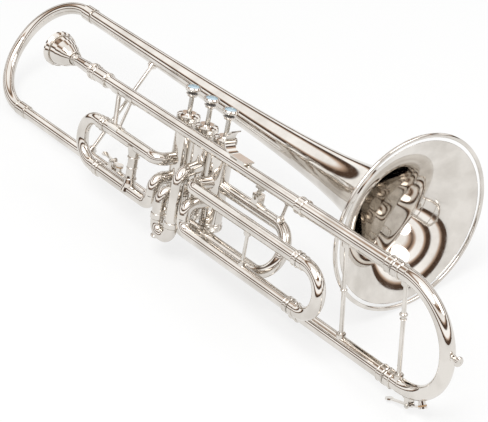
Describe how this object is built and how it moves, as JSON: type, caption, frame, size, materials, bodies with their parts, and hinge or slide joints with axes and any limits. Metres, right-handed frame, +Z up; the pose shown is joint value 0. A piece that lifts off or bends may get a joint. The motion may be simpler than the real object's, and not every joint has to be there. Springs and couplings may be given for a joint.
{
  "type": "valve trombone",
  "caption": "Valve trombone with piston valves, pull slides, sprung water keys, a removable mouthpiece and a flared bell.",
  "frame": {"origin": "centre of the mouthpiece receiver's mouth", "axes": "+X forward along the instrument, within 1.2 degrees of the leadpipe; +Z up as the instrument stands on its bell rim, neck pipe and front water key; +Y towards the bell"},
  "size_m": [0.8413, 0.2452, 0.19],
  "materials": {
    "silver_plate": "polished silver plate over brass",
    "nickel_silver": "drawn nickel silver, satin from use",
    "pearl_inlay": "polished pale blue mother-of-pearl",
    "felt": "pressed black felt",
    "spring_steel": "drawn wire"
  },
  "bodies": {
    "trombone_body": {"bell": "silver_plate", "rim_wire": "silver_plate", "bow_ferrules": "silver_plate", "back_bow": "silver_plate", "neck_pipe": "silver_plate", "bell_brace": "silver_plate", "leadpipe": "silver_plate", "receiver": "silver_plate", "upper_main_sleeve": "silver_plate", "lower_main_sleeve": "silver_plate", "return_pipe": "silver_plate", "inner_loop": "silver_plate", "fixed_stays": "silver_plate", "casing_links": "silver_plate", "hand_grip": "silver_plate", "slide_1_stays": "silver_plate", "finger_hook": "silver_plate", "lyre_socket": "silver_plate", "casing_1": "silver_plate", "casing_2": "silver_plate", "casing_3": "silver_plate", "top_cap_1": "silver_plate", "top_cap_2": "silver_plate", "top_cap_3": "silver_plate", "bottom_cap_1": "silver_plate", "bottom_cap_2": "silver_plate", "bottom_cap_3": "silver_plate", "spring_1": "spring_steel", "spring_2": "spring_steel", "spring_3": "spring_steel", "slide_1_pipes": "silver_plate", "slide_2_pipes": "silver_plate", "slide_3_pipes": "silver_plate", "neck_key_saddle": "silver_plate"},
    "valve_1": {"piston_1": "nickel_silver", "button_1": "silver_plate", "inlay_1": "pearl_inlay", "felt_1": "felt"},
    "valve_2": {"piston_2": "nickel_silver", "button_2": "silver_plate", "inlay_2": "pearl_inlay", "felt_2": "felt"},
    "valve_3": {"piston_3": "nickel_silver", "button_3": "silver_plate", "inlay_3": "pearl_inlay", "felt_3": "felt"},
    "first_slide": {"slide_1_legs": "nickel_silver", "slide_1_bow": "silver_plate"},
    "second_slide": {"slide_2_legs": "nickel_silver", "slide_2_bow": "silver_plate"},
    "third_slide": {"slide_3_legs": "nickel_silver", "slide_3_bow": "silver_plate"},
    "tuning_slide": {"tuning_legs": "nickel_silver", "tuning_crook": "silver_plate", "tuning_brace": "silver_plate", "front_key_saddle": "silver_plate"},
    "front_water_key": {"front_key_lever": "silver_plate"},
    "neck_water_key": {"neck_key_lever": "silver_plate"},
    "mouthpiece_body": {"mouthpiece": "silver_plate"},
    "lyre_thumbscrew": {"lyre_screw": "silver_plate"}
  },
  "joints": [
    {"name": "valve_1_press", "type": "slide", "parent": "trombone_body", "child": "valve_1", "axis": [0.0192, -0.2924, -0.9561], "range_m": [0, 0.0178], "stiffness_N_per_m": 80, "springref_m": -0.03, "deforming": ["spring_1"]},
    {"name": "valve_2_press", "type": "slide", "parent": "trombone_body", "child": "valve_2", "axis": [0.0192, -0.2924, -0.9561], "range_m": [0, 0.0178], "stiffness_N_per_m": 80, "springref_m": -0.03, "deforming": ["spring_2"]},
    {"name": "valve_3_press", "type": "slide", "parent": "trombone_body", "child": "valve_3", "axis": [0.0192, -0.2924, -0.9561], "range_m": [0, 0.0178], "stiffness_N_per_m": 80, "springref_m": -0.03, "deforming": ["spring_3"]},
    {"name": "first_slide_pull", "type": "slide", "parent": "trombone_body", "child": "first_slide", "axis": [-0.9998, 0, -0.0201], "range_m": [0, 0.03]},
    {"name": "second_slide_pull", "type": "slide", "parent": "trombone_body", "child": "second_slide", "axis": [0.0192, -0.2924, -0.9561], "range_m": [0, 0.01]},
    {"name": "third_slide_pull", "type": "slide", "parent": "trombone_body", "child": "third_slide", "axis": [0.9998, 0, 0.0201], "range_m": [0, 0.06]},
    {"name": "tuning_slide_pull", "type": "slide", "parent": "trombone_body", "child": "tuning_slide", "axis": [0.9998, 0, 0.0201], "range_m": [0, 0.06]},
    {"name": "mouthpiece_pull", "type": "slide", "parent": "trombone_body", "child": "mouthpiece_body", "axis": [-0.9998, 0, -0.0201], "range_m": [0, 0.018]},
    {"name": "lyre_screw_turn", "type": "hinge", "parent": "trombone_body", "child": "lyre_thumbscrew", "pos_m": [0.2789, 0.00686, -0.0421], "axis": [-0.0192, 0.2924, 0.9561], "range_deg": [0, 360]},
    {"name": "front_key_open", "type": "hinge", "parent": "tuning_slide", "child": "front_water_key", "pos_m": [0.53862, -0.01775, -0.11739], "axis": [0.0059, 0.9563, -0.2923], "range_deg": [0, 12], "stiffness_Nm_per_rad": 2.5, "springref_deg": -25.78},
    {"name": "neck_key_open", "type": "hinge", "parent": "trombone_body", "child": "neck_water_key", "pos_m": [0.02406, -0.00169, -0.10254], "axis": [-0.0059, -0.9563, 0.2923], "range_deg": [0, 14], "stiffness_Nm_per_rad": 0.1, "springref_deg": -22.92}
  ]
}
